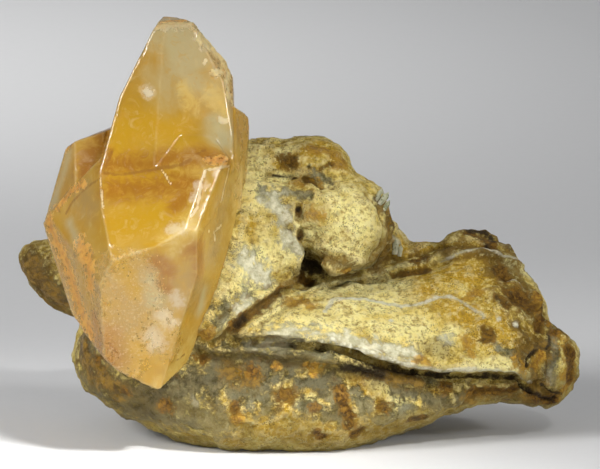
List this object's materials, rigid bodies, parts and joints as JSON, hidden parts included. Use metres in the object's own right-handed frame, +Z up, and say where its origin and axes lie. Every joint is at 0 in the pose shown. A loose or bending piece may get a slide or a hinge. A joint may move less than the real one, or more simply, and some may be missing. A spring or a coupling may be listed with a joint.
{
  "type": "calcite crystal specimen",
  "caption": "Free-standing mineral specimen: pointed honey-coloured calcite crystals on one end of a long, knobbly, crusted matrix stone with a small flat base.",
  "frame": {"origin": "middle of the bounding box, at the height of the surface that the stone rests on", "axes": "+X to the right along the specimen's length, +Y away from the front where the crystals stand, +Z up"},
  "size_m": [0.1014, 0.0569, 0.0776],
  "materials": {
    "calcite": "gloss",
    "matrix": "matte"
  },
  "bodies": {
    "root": {"calcite_crystals": "calcite", "matrix_stone": "matrix"}
  },
  "joints": []
}
